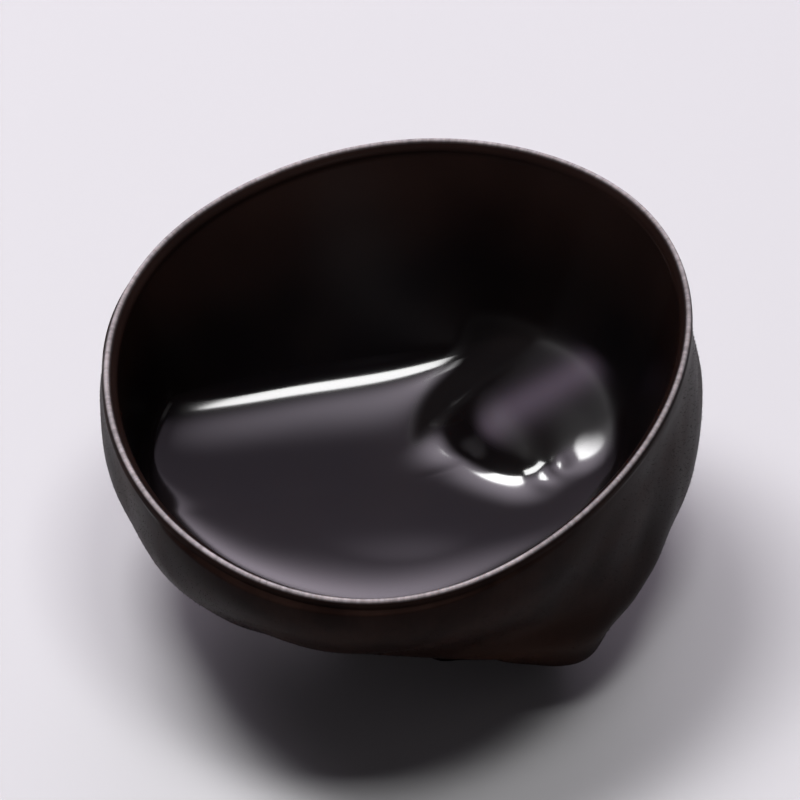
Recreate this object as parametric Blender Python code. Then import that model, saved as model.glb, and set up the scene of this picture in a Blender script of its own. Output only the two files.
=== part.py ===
"""A wood ear mushroom: one small, deep cup of thin gelatinous flesh.

Grown as one piece, so it is one closed solid. Inside, a level floor meets
the far wall in a straight tight crease, and a blunt boss runs out of the wall
over the floor on the right. Outside, a round bowl with broad folds draws in,
off centre, to a short stout foot with gathered pleats. A lobe hangs beside
the foot at the front on the right. The foot is cut off flat where it grew on
the wood, and the ear stands on that cut, with its rim leaning to the front
and to the left.

Metres, +Z up. The origin is the centre of the flat cut under the foot. The
front of the ear is towards -Y. Angles run from +X (right) towards +Y (back).
A tuple of four is a value at the right, the back, the left and the front.
"""

import math

import bmesh
import bpy
import numpy as np

MM = 0.001
UP = np.array([0.0, 0.0, 1.0])

# ---------------------------------------------------------------- the rim
RIM_RADIUS = 22.5 * MM        # mean radius at the outer edge of the lip
RIM_OVAL = 0.45 * MM          # longer towards the back right and the front left
RIM_OVAL_ANGLE = math.radians(45)
RIM_EGG = 0.55 * MM           # three-sided swelling of the outline
RIM_EGG_ANGLE = math.radians(30)
RIM_CENTRE = np.array([-4.8, 1.0, 0.0]) * MM  # seen from the foot's centre
RIM_HEIGHT = 24.5 * MM        # the rim's centre above the cut
RIM_TILT = math.radians(6.5)  # the front of the rim is lower than the back
RIM_ROLL = math.radians(5.5)  # and its left side lower than its right side
RIM_WAVES = ((2, 0.15 * MM, math.radians(126)),  # slow ups and downs of the lip:
             (5, 0.12 * MM, 0.0))                # how many, how high, and where
LIP_THICKNESS = (1.05 * MM, 0.95 * MM, 1.25 * MM, 1.1 * MM)
LIP_CREST = 0.7               # where the lip is highest, as a share of its thickness
LIP_RISE = 0.9 * MM           # how far the lip stands above the wall's edge

# ---------------------------------------------------------------- the inside
FLOOR_DEPTH = 13.4 * MM       # the level floor below the rim's centre
CREASE_CLIMB = (1.5 * MM, 3.0 * MM)  # how high it climbs to the crease, over how far
SIDE_CLIMB = (0.8 * MM, 4.5 * MM)    # and to the side walls
BOSS_CLIMB = (0.95 * MM, 2.8 * MM)   # and to the boss
BOSS_CLIMB_ROUND = 1.2 * MM
FLOOR_REACH = (0.75, 0.72, 0.90, 0.71)  # how far out it runs, as shares of the rim
FLOOR_MIDDLE = 9.0 * MM       # the climbs grow from nothing over this radius
CREASE_AWAY = 11.3 * MM       # the straight crease runs past the rim's centre at
CREASE_TURN = math.radians(13.5)  # this distance, turned this much
CREASE_END = 0.05             # lowest sine used where the crease's line runs away
BEHIND_SPAN = 0.7             # sine over which the far wall's shape takes over
CREASE_CORNER = 0.7 * MM      # roundness of the corners at the crease's ends
CREASE_TIGHT = 0.55 * MM      # roundness of the crease
CREASE_SOFT = 1.6 * MM        # and of the floor's edge elsewhere
WALL_STRAIGHT_BEHIND = 0.85   # share of the wall that rises in a straight line
WALL_STRAIGHT_ELSEWHERE = 0.25
WALL_POWER = 2.2              # the rest steepens towards the lip
BOSS_CENTRE = (9.4 * MM, 5.1 * MM)   # from the rim's centre
BOSS_NOSE = 4.9 * MM          # how far its nose reaches from there
BOSS_WIDTHS = (4.6 * MM, 6.5 * MM)   # half its width on its far and near sides
BOSS_FLARES = (0.30, 0.28)    # and how fast they widen inwards
BOSS_FLARE_ROUND = 1.5 * MM
BOSS_TURN = math.radians(38)  # it runs this way from its nose into the wall
BOSS_HEIGHT = 2.7 * MM
BOSS_FULLNESS = 2.4           # a higher power is a flatter top with steeper sides
BOSS_BLUNT = 1.05             # and the same for its nose, seen from above
BOSS_TILT = 0.10              # its top leans this much towards its near side
BOSS_TIGHT = 0.75 * MM        # roundness of the crease before the boss
BOSS_SOFT = 2.2 * MM          # and of the hollow behind it, against the walls
BOSS_SOFTENS = (4.0 * MM, 7.0 * MM)  # inwards it softens from here over this length
BOSS_SOFTENS_ACROSS = 4.5 * MM       # and to its far side over this one

# ---------------------------------------------------------------- the outside
BELLY_HEIGHT = 10.1 * MM      # where the bowl turns from wall to underside
BELLY_REACH = (0.97, 0.63, 0.93, 0.71)  # from the rim's centre, as shares of the rim
WALL_HANDLES = (0.45, 0.34)   # how long the wall holds its direction at rim and belly
UNDER_HANDLE = 0.32           # and the underside at the belly
FOOT_RADIUS = (7.8 * MM, 6.8 * MM)   # half width and half depth of the cut
FOOT_HEIGHT = 5.8 * MM        # the foot's wall is steep up to about here
FOOT_FLARE = 0.5 * MM         # and this much wider at the cut
FOLDS = 3                     # broad folds round the belly
FOLD_DEPTH = 0.7 * MM
FOLD_PHASE = math.radians(20)
FOLD_DRIFT = 0.9              # how unevenly they are spaced, in radians
WIDE_PLEATS = 7               # gathered pleats that run up from the foot
WIDE_PLEAT_DEPTH = 0.34 * MM
WIDE_PLEAT_DRIFT = 1.3
FINE_PLEATS = 12
FINE_PLEAT_DEPTH = 0.16 * MM
FINE_PLEAT_DRIFT = 2.0
PLEAT_TOP = 15.0 * MM         # the pleats fade out up to this height
BUMP_ARC = 13.0 * MM          # radius on which the lobe and the dent are measured
LOBE_PLACE = (math.radians(-46), 3.6 * MM)  # angle and height of the lobe in front
LOBE_HEIGHT = 6.4 * MM
LOBE_SIZE = 6.4 * MM
LOBE_FOOT = 3.2 * MM          # it grows out of the foot up to this height
DENT_PLACE = (math.radians(-54), 9.4 * MM)  # and of the dent above it
DENT_DEPTH = 1.3 * MM
DENT_SIZE = 3.2 * MM

# ---------------------------------------------------------------- the facets
COLUMNS = 96
FLOOR_RINGS = 9
FLOOR_CROWDING = 0.8          # below 1 the floor's rings crowd towards its edge
WALL_RINGS = 14
LIP_RINGS = 4
OUTER_RINGS = 24
FINE_SAMPLES = 200            # samples of a wall before its rings are spaced evenly
SHARP_ANGLE = math.radians(50)  # edges bent more than this are drawn sharp

FLESH_COLOUR = (0.030, 0.017, 0.015, 1.0)
FLESH_ROUGHNESS = 0.22


def outward(angle):
    """The level direction at this angle."""
    return np.array([math.cos(angle), math.sin(angle), 0.0])


def unit(vector):
    """The direction of a vector."""
    return vector / np.linalg.norm(vector)


def ease(share):
    """0 up to 0, 1 from 1, and smooth between."""
    share = np.clip(share, 0.0, 1.0)
    return share * share * (3.0 - 2.0 * share)


def around(angle, sides):
    """A value that passes smoothly through its four sides."""
    right, back, left, front = sides
    level = 0.25 * (right + back + left + front)
    level += 0.5 * (right - left) * math.cos(angle)
    level += 0.5 * (back - front) * math.sin(angle)
    return level + 0.25 * (right + left - back - front) * math.cos(2.0 * angle)


def soft_max(a, b, round_by):
    """The larger of a and b, rounded where they meet."""
    return 0.5 * (a + b + np.sqrt((a - b) ** 2 + round_by**2))


def bezier(start, out, back, end):
    """A finely sampled cubic curve from start to end."""
    share = np.linspace(0.0, 1.0, FINE_SAMPLES)[:, None]
    rest = 1.0 - share
    ends = rest**3 * start + share**3 * end
    return ends + 3.0 * rest * share * (rest * out + share * back)


def evenly(curve, steps):
    """A finely sampled curve resampled to this many equal steps."""
    lengths = np.linalg.norm(np.diff(curve, axis=0), axis=1)
    travelled = np.concatenate([[0.0], np.cumsum(lengths)])
    wanted = np.linspace(0.0, travelled[-1], steps + 1)
    return np.column_stack([np.interp(wanted, travelled, row) for row in curve.T])


# ---------------------------------------------------------------- the rim
def rim_radius(angle):
    """The outer edge of the lip from the rim's centre, seen from above."""
    oval = RIM_OVAL * math.cos(2.0 * (angle - RIM_OVAL_ANGLE))
    egg = RIM_EGG * math.cos(3.0 * (angle - RIM_EGG_ANGLE))
    return RIM_RADIUS + oval + egg


def inner_radius(angle):
    """The inner edge of the lip from the rim's centre, seen from above."""
    return rim_radius(angle) - around(angle, LIP_THICKNESS)


def rim_height(angle):
    """The height of the wall's edge, where the lip begins."""
    radius = rim_radius(angle)
    tilt = radius * math.sin(angle) * math.tan(RIM_TILT)
    roll = radius * math.cos(angle) * math.tan(RIM_ROLL)
    wave = sum(rise * math.sin(count * angle + turn) for count, rise, turn in RIM_WAVES)
    return RIM_HEIGHT + tilt + roll + wave - LIP_RISE


def lip_curve(angle):
    """The round of the lip, without its two edges."""
    thickness = around(angle, LIP_THICKNESS)
    points = []
    for ring in range(1, LIP_RINGS + 1):
        turn = math.pi * ring / (LIP_RINGS + 1)
        lean = LIP_CREST if turn < 0.5 * math.pi else 1.0 - LIP_CREST
        radius = inner_radius(angle) + thickness * (LIP_CREST - lean * math.cos(turn))
        height = rim_height(angle) + LIP_RISE * math.sin(turn)
        points.append(RIM_CENTRE + radius * outward(angle) + height * UP)
    return np.array(points)


# ---------------------------------------------------------------- the inside
def floor_edge(angle):
    """Where the wall begins: at the crease behind, at the floor's reach elsewhere."""
    reach = around(angle, FLOOR_REACH) * inner_radius(angle)
    crease = CREASE_AWAY / max(math.sin(angle - CREASE_TURN), CREASE_END)
    return reach - float(soft_max(reach - crease, 0.0, CREASE_CORNER))


def behind(angle):
    """1 under the far wall, 0 at the sides and in front, and smooth between."""
    return float(ease(math.sin(angle - CREASE_TURN) / BEHIND_SPAN))


def boss_place(x, y):
    """How far a place is along the boss, from its nose inwards, and across it."""
    x = x - BOSS_CENTRE[0]
    y = y - BOSS_CENTRE[1]
    return (x * math.cos(BOSS_TURN) + y * math.sin(BOSS_TURN),
            y * math.cos(BOSS_TURN) - x * math.sin(BOSS_TURN))


def boss_away(x, y):
    """The distance from the boss's ridge, as a share, 1 at its edge."""
    along, across = boss_place(x, y)
    inwards = soft_max(along, 0.0, BOSS_FLARE_ROUND)
    width = np.where(across > 0.0, BOSS_WIDTHS[0] + BOSS_FLARES[0] * inwards,
                     BOSS_WIDTHS[1] + BOSS_FLARES[1] * inwards)
    nose = (np.maximum(-along, 0.0) / BOSS_NOSE) ** BOSS_BLUNT
    return np.hypot(nose, across / width)


def with_boss(height, x, y):
    """The inside's height with the boss on it."""
    along, across = boss_place(x, y)
    dome = RIM_HEIGHT - FLOOR_DEPTH + BOSS_CLIMB[0] + BOSS_TILT * across
    dome = dome + BOSS_HEIGHT * (1.0 - boss_away(x, y) ** BOSS_FULLNESS)
    hard = 1.0 - ease((along - BOSS_SOFTENS[0]) / BOSS_SOFTENS[1])
    hard = hard * (1.0 - ease(across / BOSS_SOFTENS_ACROSS))
    return soft_max(height, dome, BOSS_SOFT + (BOSS_TIGHT - BOSS_SOFT) * hard)


def climbing(gap, climb):
    """How far the floor has climbed at this distance from what bounds it."""
    return climb[0] * np.exp(-np.maximum(gap, 0.0) / climb[1])


def floor_height(radius, angle):
    """The height of the floor at distances from the rim's centre."""
    turn = angle - CREASE_TURN
    side = around(angle, FLOOR_REACH) * inner_radius(angle) - radius
    boss = boss_away(radius * math.cos(angle), radius * math.sin(angle)) - 1.0
    boss = soft_max(boss * BOSS_WIDTHS[1], 0.0, BOSS_CLIMB_ROUND)
    climb = climbing(side, SIDE_CLIMB) * ease(radius / FLOOR_MIDDLE)
    climb = climb + climbing(CREASE_AWAY - radius * math.sin(turn), CREASE_CLIMB)
    climb = climb + climbing(boss, BOSS_CLIMB)
    return RIM_HEIGHT - FLOOR_DEPTH + climb


def inner_height(radius, angle):
    """The height of the wet inside at distances from the rim's centre."""
    rim = inner_radius(angle)
    edge = floor_edge(angle)
    far = behind(angle)
    base = floor_height(edge, angle)
    level = floor_height(radius, angle)
    climb = (radius - edge) / (rim - edge)
    straight = WALL_STRAIGHT_BEHIND * far + WALL_STRAIGHT_ELSEWHERE * (1.0 - far)
    rise = straight * climb + (1.0 - straight) * np.maximum(climb, 0.0) ** WALL_POWER
    wall = base + (rim_height(angle) - base) * rise
    lift = soft_max(level, wall, CREASE_TIGHT * far + CREASE_SOFT * (1.0 - far)) - level
    height = level + lift * ease(radius / FLOOR_MIDDLE)
    return with_boss(height, radius * math.cos(angle), radius * math.sin(angle))


def inner_curve(angle):
    """The inside in one direction, from the middle of the floor to the lip."""
    rim = inner_radius(angle)
    edge = floor_edge(angle)
    floor = edge * np.linspace(0.0, 1.0, FLOOR_RINGS + 1) ** FLOOR_CROWDING
    wall = np.linspace(edge, rim, FINE_SAMPLES)
    wall = evenly(np.column_stack([wall, inner_height(wall, angle)]), WALL_RINGS)
    radius = np.concatenate([floor[:-1], wall[:, 0]])
    height = inner_height(radius, angle)
    return RIM_CENTRE + radius[:, None] * outward(angle) + height[:, None] * UP


# ---------------------------------------------------------------- the outside
def bump(angle, height, place, size):
    """A round swelling of height 1 on the outside, fading over this size."""
    turn = (angle - place[0] + math.pi) % (2.0 * math.pi) - math.pi
    away = np.hypot(turn * BUMP_ARC, height - place[1])
    return np.exp(-((away / size) ** 2))


def outer_relief(angle, height):
    """How far the outside stands proud of its plain bowl at these heights."""
    folds = FOLD_DEPTH * math.sin(
        FOLDS * angle + FOLD_PHASE + FOLD_DRIFT * math.sin(2.0 * angle))
    wide = math.sin(WIDE_PLEATS * angle + WIDE_PLEAT_DRIFT * math.sin(2.0 * angle))
    fine = math.sin(FINE_PLEATS * angle + FINE_PLEAT_DRIFT * math.sin(angle))
    pleats = WIDE_PLEAT_DEPTH * wide + FINE_PLEAT_DEPTH * fine
    up = height / RIM_HEIGHT
    lobe = LOBE_HEIGHT * bump(angle, height, LOBE_PLACE, LOBE_SIZE)
    dent = DENT_DEPTH * bump(angle, height, DENT_PLACE, DENT_SIZE)
    folds = folds * 4.0 * up * np.maximum(1.0 - up, 0.0) * ease(height / FOOT_HEIGHT)
    low = (lobe - dent) * ease(height / LOBE_FOOT)
    return pleats * ease(1.0 - height / PLEAT_TOP) + folds + low


def outer_curve(angle):
    """The outside in one direction, from the lip over the belly to the cut."""
    out = outward(angle)
    radius = rim_radius(angle)
    rim = RIM_CENTRE + radius * out + rim_height(angle) * UP
    belly = RIM_CENTRE + around(angle, BELLY_REACH) * radius * out + BELLY_HEIGHT * UP
    foot = out / math.hypot(out[0] / FOOT_RADIUS[0], out[1] / FOOT_RADIUS[1])
    along = unit(unit(rim - belly) + unit(belly - foot))
    upper = np.linalg.norm(rim - belly)
    lower = np.linalg.norm(belly - foot)
    wall = bezier(rim, rim - WALL_HANDLES[0] * upper * UP,
                  belly + WALL_HANDLES[1] * upper * along, belly)
    neck = foot - FOOT_FLARE * out + FOOT_HEIGHT * UP
    under = bezier(belly, belly - UNDER_HANDLE * lower * along, neck, foot)
    curve = np.concatenate([wall, under[1:]])
    return evenly(curve + outer_relief(angle, curve[:, 2])[:, None] * out, OUTER_RINGS)


# ---------------------------------------------------------------- the solid
def build_ear():
    """The closed mesh of the ear: columns of points, joined all the way round."""
    shape = bmesh.new()
    columns = []
    for column in range(COLUMNS):
        angle = 2.0 * math.pi * column / COLUMNS
        inside = inner_curve(angle)
        points = np.concatenate([inside[1:], lip_curve(angle), outer_curve(angle)])
        columns.append([shape.verts.new(point) for point in points])
    middle = shape.verts.new(inside[0])
    cut = shape.verts.new((0.0, 0.0, 0.0))
    for here, following in zip(columns, columns[1:] + columns[:1]):
        shape.faces.new((middle, here[0], following[0]))
        for ring in range(len(here) - 1):
            corners = (here[ring], here[ring + 1], following[ring + 1], following[ring])
            shape.faces.new(corners)
        shape.faces.new((cut, following[-1], here[-1]))
    bmesh.ops.recalc_face_normals(shape, faces=shape.faces)
    bmesh.ops.triangulate(shape, faces=shape.faces)
    mesh = bpy.data.meshes.new("wood_ear")
    shape.to_mesh(mesh)
    shape.free()
    mesh.shade_smooth()
    mesh.set_sharp_from_angle(angle=SHARP_ANGLE)
    return mesh


def flesh_material():
    """Dark, wet, brown-black flesh."""
    material = bpy.data.materials.new("ear_flesh")
    material.use_nodes = True
    surface = material.node_tree.nodes["Principled BSDF"]
    surface.inputs["Base Color"].default_value = FLESH_COLOUR
    surface.inputs["Roughness"].default_value = FLESH_ROUGHNESS
    surface.inputs["Metallic"].default_value = 0.0
    return material


def main():
    """Clears the scene and makes the ear."""
    for thing in list(bpy.data.objects):
        bpy.data.objects.remove(thing)
    mesh = build_ear()
    mesh.materials.append(flesh_material())
    ear = bpy.data.objects.new("wood_ear", mesh)
    bpy.context.scene.collection.objects.link(ear)


main()
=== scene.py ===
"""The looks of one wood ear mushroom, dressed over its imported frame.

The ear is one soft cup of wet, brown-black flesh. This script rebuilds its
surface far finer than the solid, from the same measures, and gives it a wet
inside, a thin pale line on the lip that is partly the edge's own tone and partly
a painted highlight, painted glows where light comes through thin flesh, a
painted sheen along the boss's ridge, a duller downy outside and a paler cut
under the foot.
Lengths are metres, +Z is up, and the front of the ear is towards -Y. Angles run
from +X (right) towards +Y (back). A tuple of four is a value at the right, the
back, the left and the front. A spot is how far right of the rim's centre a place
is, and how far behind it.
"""

import logging
import math
from dataclasses import dataclass, field
from enum import Enum
from typing import Sequence

import bpy
import numpy as np
from mathutils import Matrix, Vector


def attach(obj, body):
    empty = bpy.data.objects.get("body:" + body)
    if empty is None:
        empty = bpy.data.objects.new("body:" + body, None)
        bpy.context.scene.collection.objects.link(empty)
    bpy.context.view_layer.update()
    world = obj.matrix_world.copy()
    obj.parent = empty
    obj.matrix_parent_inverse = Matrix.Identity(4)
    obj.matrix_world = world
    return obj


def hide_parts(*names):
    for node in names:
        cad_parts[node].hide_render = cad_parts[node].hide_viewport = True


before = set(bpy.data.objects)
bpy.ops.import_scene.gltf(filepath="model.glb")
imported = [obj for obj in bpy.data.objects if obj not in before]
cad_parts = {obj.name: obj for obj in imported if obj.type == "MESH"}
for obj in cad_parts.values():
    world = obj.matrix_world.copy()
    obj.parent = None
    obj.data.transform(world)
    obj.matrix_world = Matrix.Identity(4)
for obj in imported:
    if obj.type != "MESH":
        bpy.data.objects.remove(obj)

MM = 0.001
UP = np.array([0.0, 0.0, 1.0])
NODE = "wood_ear"
BODY = "root"

log = logging.getLogger("wood_ear")

Array = np.ndarray
Socket = bpy.types.NodeSocket
Pair = tuple[float, float]
Triple = tuple[float, float, float]
Four = tuple[float, float, float, float]
Colour = Triple
Span = tuple[float, ...]
Spot = tuple[Array, Array]


class Zone(Enum):
    """The parts of the surface, from the middle of the floor round to the cut."""

    FLOOR = 0
    WALL = 1
    LIP = 2
    OUTSIDE = 3
    CUT = 4


# ------------------------------------------------------------------ curves
def outward(angle: float) -> Array:
    """The level direction at this angle."""
    return np.array([math.cos(angle), math.sin(angle), 0.0])


def turns(count: int) -> Array:
    """The angles of this many equal steps, all the way round."""
    return 2.0 * math.pi * np.arange(count) / count


def spot_at(radius: Array | float, angle: float) -> Spot:
    """The spots at these distances from the rim's centre, in one direction."""
    return radius * math.cos(angle), radius * math.sin(angle)


def unit(vector: Array) -> Array:
    """The direction of a vector."""
    return vector / np.linalg.norm(vector)


def ease(share: Array | float) -> Array:
    """0 up to 0, 1 from 1, and smooth between."""
    share = np.clip(share, 0.0, 1.0)
    return share * share * (3.0 - 2.0 * share)


def around(angle: float, sides: Four) -> float:
    """A value that passes smoothly through its four sides.

    Args:
        angle: the direction, in radians.
        sides: the values at the right, the back, the left and the front.

    Returns:
        The value in that direction.
    """
    right, back, left, front = sides
    level = 0.25 * (right + back + left + front)
    level += 0.5 * (right - left) * math.cos(angle)
    level += 0.5 * (back - front) * math.sin(angle)
    return level + 0.25 * (right + left - back - front) * math.cos(2.0 * angle)


@dataclass(frozen=True)
class Fade:
    """A smooth growth from 0 to 1.

    Args:
        start: the value where it starts.
        over: how far on it ends; below 0, it grows downwards.
    """

    start: float
    over: float

    def at(self, value: Array | float) -> Array:
        """The share that is reached at this value."""
        return ease((value - self.start) / self.over)


def soft_max(a: Array, b: Array, round_by: Array | float) -> Array:
    """The larger of a and b, with a round of about this size where they cross."""
    return 0.5 * (a + b + np.sqrt((a - b) ** 2 + round_by**2))


def bezier(start: Array, out: Array, back: Array, end: Array, samples: int) -> Array:
    """A finely sampled cubic curve.

    Args:
        start: the first point.
        out: the handle that leaves the first point.
        back: the handle that arrives at the last point.
        end: the last point.
        samples: how many points to return.

    Returns:
        The points, one to a row.
    """
    share = np.linspace(0.0, 1.0, samples)[:, None]
    rest = 1.0 - share
    ends = rest**3 * start + share**3 * end
    return ends + 3.0 * rest * share * (rest * out + share * back)


def evenly(curve: Array, steps: int) -> Array:
    """A finely sampled curve resampled to equal steps.

    Args:
        curve: its points, one to a row.
        steps: how many steps to make.

    Returns:
        The new points, one more than the steps.
    """
    lengths = np.linalg.norm(np.diff(curve, axis=0), axis=1)
    travelled = np.concatenate([[0.0], np.cumsum(lengths)])
    wanted = np.linspace(0.0, travelled[-1], steps + 1)
    return np.column_stack([np.interp(wanted, travelled, axis) for axis in curve.T])


@dataclass(frozen=True)
class Unevenness:
    """Gentle lumps of a grown surface: a seeded sum of waves in space.

    Args:
        seed: fixes the waves.
        length: the mean length of a wave, in metres.
        height: the root mean square height, in metres.
        count: how many waves are summed.
        spread: the shortest and longest wave, as shares of the mean.
    """

    seed: int
    length: float
    height: float
    count: int = 14
    spread: Pair = (0.7, 1.5)

    def at(self, points: Array) -> Array:
        """The height of the lumps.

        Args:
            points: where to look, one to a row.

        Returns:
            A height for each point, in metres.
        """
        draw = np.random.default_rng(self.seed)
        total = np.zeros(len(points))
        for _ in range(self.count):
            way = unit(draw.normal(size=3))
            turns = 2.0 * math.pi / (self.length * draw.uniform(*self.spread))
            total += np.sin(points @ way * turns + draw.uniform(0.0, 2.0 * math.pi))
        return total * self.height / math.sqrt(0.5 * self.count)


# ------------------------------------------------------------------ the form
@dataclass(frozen=True)
class Rim:
    """The outline and the lean of the ear's mouth."""

    centre: Array = field(
        default_factory=lambda: np.array([-4.8, 1.0, 0.0]) * MM)
    radius: float = 22.5 * MM
    oval: float = 0.45 * MM
    oval_angle: float = math.radians(45)
    egg: float = 0.55 * MM
    egg_angle: float = math.radians(30)
    height: float = 24.5 * MM
    tilt: float = math.radians(6.5)
    roll: float = math.radians(5.5)
    waves: tuple = ((2, 0.15 * MM, math.radians(126)), (5, 0.12 * MM, 0.0))
    thickness: Four = (1.05 * MM, 0.95 * MM, 1.25 * MM, 1.10 * MM)
    rise: float = 0.9 * MM
    crest: float = 0.70
    bead: float = 0.20 * MM
    inner_slope: float = math.radians(50)
    outer_slope: float = math.radians(64)
    handle: float = 0.4
    samples: int = 60

    def outer(self, angle: float) -> float:
        """The outer edge of the lip from the rim's centre, seen from above."""
        oval = self.oval * math.cos(2.0 * (angle - self.oval_angle))
        return self.radius + oval + self.egg * math.cos(3.0 * (angle - self.egg_angle))

    def inner(self, angle: float) -> float:
        """The inner edge of the lip from the rim's centre, seen from above."""
        return self.outer(angle) - around(angle, self.thickness)

    def edge_height(self, angle: float) -> float:
        """The height of the wall's edge, where the lip begins.

        Args:
            angle: the direction, in radians.

        Returns:
            The height above the cut.
        """
        radius = self.outer(angle)
        tilt = radius * math.sin(angle) * math.tan(self.tilt)
        roll = radius * math.cos(angle) * math.tan(self.roll)
        wave = sum(rise * math.sin(count * angle + turn)
                   for count, rise, turn in self.waves)
        return self.height + tilt + roll + wave - self.rise

    def lip(self, angle: float, inner: int, outer: int) -> Array:
        """The lip: a slope up from the wall, a thin round bead, and a steep fall.

        Args:
            angle: the direction, in radians.
            inner: how many points from the inner edge up to the crest.
            outer: how many points from the crest down to the outer edge.

        Returns:
            The points, without the lip's two edges but with its crest.
        """
        thickness = around(angle, self.thickness)
        top = np.array([self.crest * thickness, self.rise - self.bead])
        halves = []
        for side, slope, end in ((-1.0, self.inner_slope, 0.0),
                                 (1.0, self.outer_slope, thickness)):
            turn = np.linspace(0.0, slope, self.samples)[:, None]
            bead = top + self.bead * np.hstack([side * np.sin(turn), np.cos(turn)])
            end = np.array([end, 0.0])
            handle = self.handle * np.linalg.norm(end - bead[-1])
            down = np.array([side * math.cos(slope), -math.sin(slope)])
            fall = bezier(bead[-1], bead[-1] + handle * down,
                          end + handle * UP[1:], end, self.samples)
            halves.append(np.concatenate([bead, fall[1:]]))
        inside = evenly(halves[0][::-1], inner)[1:]
        outside = evenly(halves[1], outer)[1:-1]
        section = np.concatenate([inside, outside])
        radius = self.inner(angle) + section[:, 0]
        height = self.edge_height(angle) + section[:, 1]
        return self.centre + radius[:, None] * outward(angle) + height[:, None] * UP


@dataclass(frozen=True)
class Boss:
    """The blunt swelling that runs out of the wall over the floor on the right.

    Its widths and flares are those of its far side and its near side.
    """

    centre: Pair = (9.4 * MM, 5.1 * MM)
    nose: float = 4.9 * MM
    widths: Pair = (4.6 * MM, 6.5 * MM)
    flares: Pair = (0.30, 0.28)
    flare_round: float = 1.5 * MM
    turn: float = math.radians(38)
    height: float = 2.7 * MM
    fullness: float = 2.4
    tilt: float = 0.10
    blunt: float = 1.05
    tight: float = 0.75 * MM
    soft: float = 2.2 * MM
    soft_along: Fade = Fade(4.0 * MM, 7.0 * MM)
    soft_across: Fade = Fade(0.0, 4.5 * MM)

    def place(self, spot: Spot) -> Spot:
        """How far a spot is along the boss, from its nose inwards, and across it.

        Args:
            spot: where to look.

        Returns:
            Both in metres; across is positive on the far side.
        """
        x, y = spot[0] - self.centre[0], spot[1] - self.centre[1]
        return (x * math.cos(self.turn) + y * math.sin(self.turn),
                y * math.cos(self.turn) - x * math.sin(self.turn))

    def away(self, spot: Spot) -> Array:
        """How far a spot is from the boss's ridge.

        Args:
            spot: where to look.

        Returns:
            The distance as a share, 1 at the boss's edge.
        """
        along, across = self.place(spot)
        inwards = soft_max(along, 0.0, self.flare_round)
        far, near = (width + flare * inwards
                     for width, flare in zip(self.widths, self.flares))
        nose = (np.maximum(-along, 0.0) / self.nose) ** self.blunt
        return np.hypot(nose, across / np.where(across > 0.0, far, near))

    def lift(self, height: Array, base: float, spot: Spot) -> Array:
        """The inside's height with the boss on it.

        Args:
            height: the height without the boss.
            base: the level height from which the boss rises.
            spot: where the heights are.

        Returns:
            The height with the boss.
        """
        along, across = self.place(spot)
        dome = base + self.height * (1.0 - self.away(spot) ** self.fullness)
        dome = dome + self.tilt * across
        hard = (1.0 - self.soft_along.at(along)) * (1.0 - self.soft_across.at(across))
        return soft_max(height, dome, self.soft + (self.tight - self.soft) * hard)


@dataclass(frozen=True)
class Flat:
    """A small, nearly flat place on the wet inside, which catches a light.

    Args:
        x: how far right of the rim's centre.
        y: how far behind it.
        slopes: how it climbs to the right and to the back.
        size: how far it reaches.
    """

    x: float
    y: float
    slopes: Pair
    size: float

    def press(self, height: Array, own: float, spot: Spot) -> Array:
        """The inside's height with this place on it.

        Args:
            height: the height without it.
            own: the same in its middle.
            spot: where the heights are.

        Returns:
            The height with it.
        """
        x, y = spot[0] - self.x, spot[1] - self.y
        plane = own + self.slopes[0] * x + self.slopes[1] * y
        return height + (plane - height) * np.exp(-(x**2 + y**2) / self.size**2)


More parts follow.
